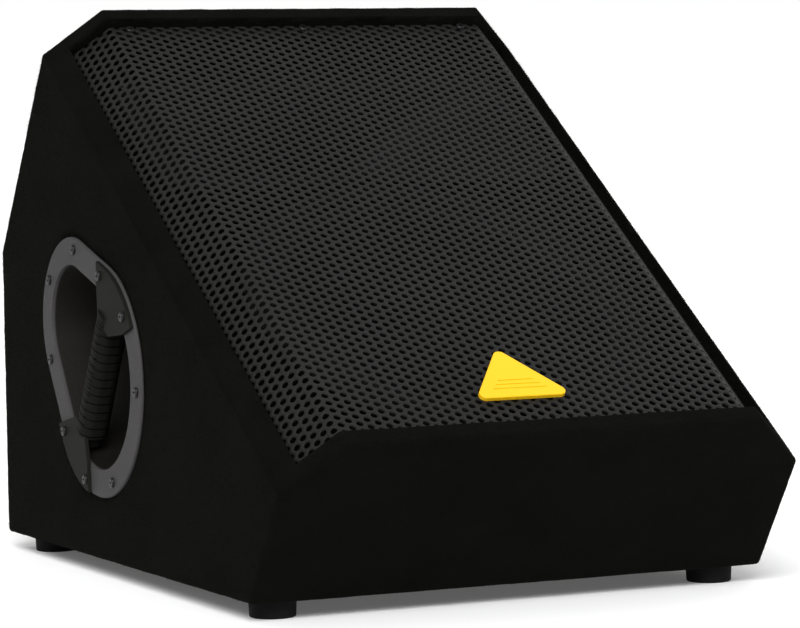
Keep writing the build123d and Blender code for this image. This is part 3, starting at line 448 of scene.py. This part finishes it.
def score(flat, places):
    """Cuts edges across the sheet at these distances from its middle, so that a fold bends cleanly."""
    for place in places:
        for sign in (-1, 1):
            everything = flat.verts[:] + flat.edges[:] + flat.faces[:]
            bmesh.ops.bisect_plane(flat, geom=everything, dist=1e-6, plane_co=(sign * place, 0, 0),
                                   plane_no=(1, 0, 0))


def build_grille(material):
    low, high = slope_box("grille")
    edge, top = high[0], high[2]
    fold = low[2] - top + edge + SHEET * sqrt(2)
    outer_radius = FOLD_RADIUS + SHEET / 2
    flat_half = fold - outer_radius * tan(FOLD_ANGLE / 2)
    arc = FOLD_RADIUS * FOLD_ANGLE
    arc_end = flat_half + outer_radius * sin(FOLD_ANGLE)
    half_wide = flat_half + arc + (edge - arc_end) / cos(FOLD_ANGLE)
    pitch = (high[1] - low[1]) / round((high[1] - low[1]) / HOLE_PITCH)

    def bent(across, along, depth):
        """From the flat sheet to the slope: depth is measured into the sheet from its outer face."""
        side, reach = (1 if across >= 0 else -1), abs(across)
        turn = min(max((reach - flat_half) / FOLD_RADIUS, 0.0), FOLD_ANGLE)
        beyond = max(reach - flat_half - arc, 0.0)
        middle = top - outer_radius
        radius = outer_radius - depth
        x = min(reach, flat_half) + radius * sin(turn) + beyond * cos(turn)
        out = middle + radius * cos(turn) - beyond * sin(turn)
        return on_slope(side * x, along, out)

    flat = perforated_sheet(half_wide, low[1], high[1], pitch)
    score(flat, [flat_half + arc * i / FOLD_STEPS for i in range(FOLD_STEPS + 1)])
    bmesh.ops.remove_doubles(flat, verts=flat.verts, dist=2e-5)
    middle = low[1] + pitch * round((high[1] - low[1]) / pitch / 2)
    everything = flat.verts[:] + flat.edges[:] + flat.faces[:]
    bmesh.ops.bisect_plane(flat, geom=everything, dist=1e-6, plane_co=(0, middle, 0), plane_no=(0, 1, 0))
    made = []
    for name, sign in (("grille_lower", -1), ("grille_upper", 1)):
        faces = [f for f in flat.faces if (f.calc_center_median().y - middle) * sign > 0]
        made.append(thick_sheet(name, faces, bent, material, middle))
    flat.free()
    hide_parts("grille")
    return made


def thick_sheet(name, faces, bent, material, seam):
    """A closed sheet from one layer of faces: outer face, inner face, walls, and a rolled outer edge.

    The edge at the seam, where the next sheet continues it, isn't rolled.
    """
    index, spots = {}, []
    for face in faces:
        for v in face.verts:
            if v not in index:
                index[v] = len(spots)
                spots.append(v.co.copy())
    loops = [[index[v] for v in f.verts] for f in faces]
    count = {}
    for loop in loops:
        for a, b in zip(loop, loop[1:] + loop[:1]):
            count[(a, b)] = True
    border = [(a, b) for a, b in count if (b, a) not in count]
    joined = {(a, b) for a, b in border if max(abs(spots[a].y - seam), abs(spots[b].y - seam)) < 1e-6}
    inward = {}
    for a, b in border:
        if (a, b) in joined:
            continue
        run = (spots[b] - spots[a]).normalized()
        side = Vector((-run.y, run.x, 0))
        for end in (a, b):
            inward[end] = inward.get(end, Vector()) + side
    total = len(spots)
    verts, faces_out = [], []
    for i, spot in enumerate(spots):
        shift = inward[i].normalized() * EDGE_ROLL if i in inward else Vector()
        verts.append(bent(spot.x + shift.x, spot.y + shift.y, 0.0))
    verts += [bent(s.x, s.y, SHEET) for s in spots]
    ring = {}
    for i in inward:
        ring[i] = len(verts)
        verts.append(bent(spots[i].x, spots[i].y, EDGE_ROLL))
    faces_out += loops
    faces_out += [[total + i for i in reversed(loop)] for loop in loops]
    for a, b in border:
        if (a, b) in joined:
            near, far = ([ring[end]] if end in ring else [] for end in (a, b))
            faces_out.append([b, a, *near, total + a, total + b, *far])
            continue
        faces_out.append([b, a, ring[a], ring[b]])
        faces_out.append([ring[b], ring[a], total + a, total + b])
    return add_piece(name, verts, faces_out, material, smooth_under=60.0)


# ---- carpet: the CAD skin with a matted surface, and loose fibres standing on it ----

CARPET_OVER = {
    "carpet_wrap": ["bottom_board", "rear_slant_board", "lower_front_board", "rear_board"],
    "carpet_left": ["side_board_left"],
    "carpet_right": ["side_board_right"],
}
CARPET_EDGE = 0.010         # a longer edge of the matted surface's mesh is cut
MOST_CUTS = 6               # how many times over
SMALLEST_FACE = 1e-8        # area under which a face holds no fibre
WELD = 1e-6
MATTED = 0.00035            # height of its unevenness
MAT_BROAD = (45, 0.6)       # lumps to the metre, and their share of the height
MAT_FINE = (160, 0.8)
MAT_LOWEST = -0.6
FIBRES = {"carpet_wrap": 49000, "carpet_left": 30000, "carpet_right": 30000}
FIBRE_LONG = (0.0007, 0.0019)
FIBRE_WIDE = 0.00011
FIBRE_LEAN = 0.75           # how far a fibre leans, against standing straight out
FIBRE_SUNK = 0.0001         # how deep its root is
BACKING_GAP = 0.0004        # a vertex this near a board is on the carpet's back


def board_tree():
    """The boards' surfaces, to tell the carpet's back from its face."""
    joined = bmesh.new()
    for name in ("side_board_left", "side_board_right", "bottom_board", "rear_slant_board",
                 "lower_front_board", "rear_board"):
        joined.from_mesh(NODES[name].data)
    tree = BVHTree.FromBMesh(joined)
    joined.free()
    return tree


def off_boards(made, tree):
    """The vertices of the carpet's face: those that aren't against a board."""
    return {v for v in made.verts if tree.find_nearest(v.co, BACKING_GAP)[0] is None}


def felt_copy(node, tree):
    """A CAD node's surface as one welded bmesh, fine on the carpet's face and left as it is on its back.

    Also gives the vertices of its face.
    """
    made = bmesh.new()
    made.from_mesh(NODES[node].data)
    bmesh.ops.remove_doubles(made, verts=made.verts, dist=WELD)
    bmesh.ops.triangulate(made, faces=made.faces)
    for _ in range(MOST_CUTS):
        face = off_boards(made, tree)
        long = [e for e in made.edges if e.calc_length() > CARPET_EDGE and face.issuperset(e.verts)]
        bmesh.ops.subdivide_edges(made, edges=long, cuts=1)
        bmesh.ops.triangulate(made, faces=made.faces)
    made.normal_update()
    return made, off_boards(made, tree)


def mat_surface(face):
    """Raises the carpet's face unevenly, as matted fibre lies."""
    for v in face:
        height = sum(noise.noise(v.co * scale) * share for scale, share in (MAT_BROAD, MAT_FINE))
        v.co = v.co + v.normal * (MATTED * max(height, MAT_LOWEST))


def fibres(name, made, face, count, seed, material):
    """Thin closed spikes, leaning every way, spread over the carpet's face."""
    draw = np.random.default_rng(seed)
    made.normal_update()
    faces = [f for f in made.faces if face.issuperset(f.verts) and f.calc_area() > SMALLEST_FACE]
    area = np.array([f.calc_area() for f in faces])
    picks = draw.choice(len(faces), size=count, p=area / area.sum())
    mix = draw.random((count, 2))
    mix = np.where(mix.sum(1, keepdims=True) > 1, 1 - mix, mix)
    lean, twist = draw.normal(size=(2, count, 3))
    long = draw.uniform(*FIBRE_LONG, size=count)
    corners = np.array([[v.co[:] for v in f.verts] for f in faces])[picks]
    out = np.array([f.normal[:] for f in faces])[picks]
    root = corners[:, 0] + np.einsum("nk,nkc->nc", mix, corners[:, 1:] - corners[:, :1])
    way = out + FIBRE_LEAN * lean / np.linalg.norm(lean, axis=1, keepdims=True)
    way /= np.linalg.norm(way, axis=1, keepdims=True)
    tip = root + way * long[:, None]
    side = np.cross(way, twist)
    side /= np.linalg.norm(side, axis=1, keepdims=True)
    other = np.cross(way, side)
    root = root - out * FIBRE_SUNK
    base = [root + FIBRE_WIDE * (side * cos(a) + other * sin(a)) for a in (0, 2 * pi / 3, 4 * pi / 3)]
    verts = np.stack([*base, tip], axis=1).reshape(-1, 3)
    one = np.array([(0, 1, 3), (1, 2, 3), (2, 0, 3), (0, 2, 1)])
    spikes = (one[None] + 4 * np.arange(count)[:, None, None]).reshape(-1, 3)
    return add_piece(name, verts.tolist(), spikes.tolist(), material)


def carpet_cut(node, area):
    """The rectangle that a carpet was cut from: a strip for the wrap, and the side's own box for a side."""
    low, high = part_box(node)
    if node == "carpet_wrap":
        across = high[0] - low[0]
        return across, area / across
    return high[1] - low[1], high[2] - low[2]


def build_carpet(material):
    """A matted sheet and its loose fibres in place of each carpet node."""
    tree = board_tree()
    for number, (node, boards) in enumerate(CARPET_OVER.items()):
        made, face = felt_copy(node, tree)
        cut_area = sum(f.calc_area() for f in made.faces) / 2
        across, along = carpet_cut(node, cut_area)
        mat_surface(face)
        mesh = bpy.data.meshes.new(node + "_felt")
        made.to_mesh(mesh)
        mesh.materials.append(material)
        mesh.shade_smooth()
        felt = bpy.data.objects.new(node + "_felt", mesh)
        bpy.context.scene.collection.objects.link(felt)
        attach(felt, "cabinet")
        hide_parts(node)
        fuzz = fibres(node + "_fuzz", made, face, FIBRES[node], SEED + number, material)
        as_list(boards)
        made.free()


# ---- damping pad: a soft slab with rounded edges ----

PAD_VOXEL = 0.005
PAD_LUMP = 0.0012
PAD_LUMPS_TO_METRE = 70
PAD_SOFTENING = (0.5, 8)    # how far each pass smooths it, and how many passes


def build_damping_pad(material):
    """The pad behind the woofer, from its CAD slab."""
    node = NODES["damping_pad"]
    pad = bpy.data.objects.new("damping_pad_wadding", node.data.copy())
    bpy.context.scene.collection.objects.link(pad)
    voxels = pad.modifiers.new("voxels", "REMESH")
    voxels.mode, voxels.voxel_size = "VOXEL", PAD_VOXEL
    soften = pad.modifiers.new("soften", "SMOOTH")
    soften.factor, soften.iterations = PAD_SOFTENING
    mesh = bpy.data.meshes.new_from_object(pad.evaluated_get(bpy.context.evaluated_depsgraph_get()))
    pad.modifiers.clear()
    pad.data = mesh
    mesh.materials.clear()
    mesh.materials.append(material)
    for v in mesh.vertices:
        v.co = v.co - v.normal * (PAD_LUMP * (0.5 + 0.5 * noise.noise(v.co * PAD_LUMPS_TO_METRE)))
    mesh.shade_smooth()
    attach(pad, "cabinet")
    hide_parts("damping_pad")


# ---- the scene ----

def dress_frame(materials):
    """Gives each CAD node its slot's material."""
    slots = {row["node"]: row["material_slot"] for row in frame["record"]["subparts"]}
    for name, node in NODES.items():
        for place in node.material_slots:
            place.material = materials[slots[name]]


add_camera()
add_studio()
MATERIALS = build_materials()
dress_frame(MATERIALS)
build_grille(MATERIALS["grille_steel"])
build_carpet(MATERIALS["carpet"])
build_damping_pad(MATERIALS["wadding"])
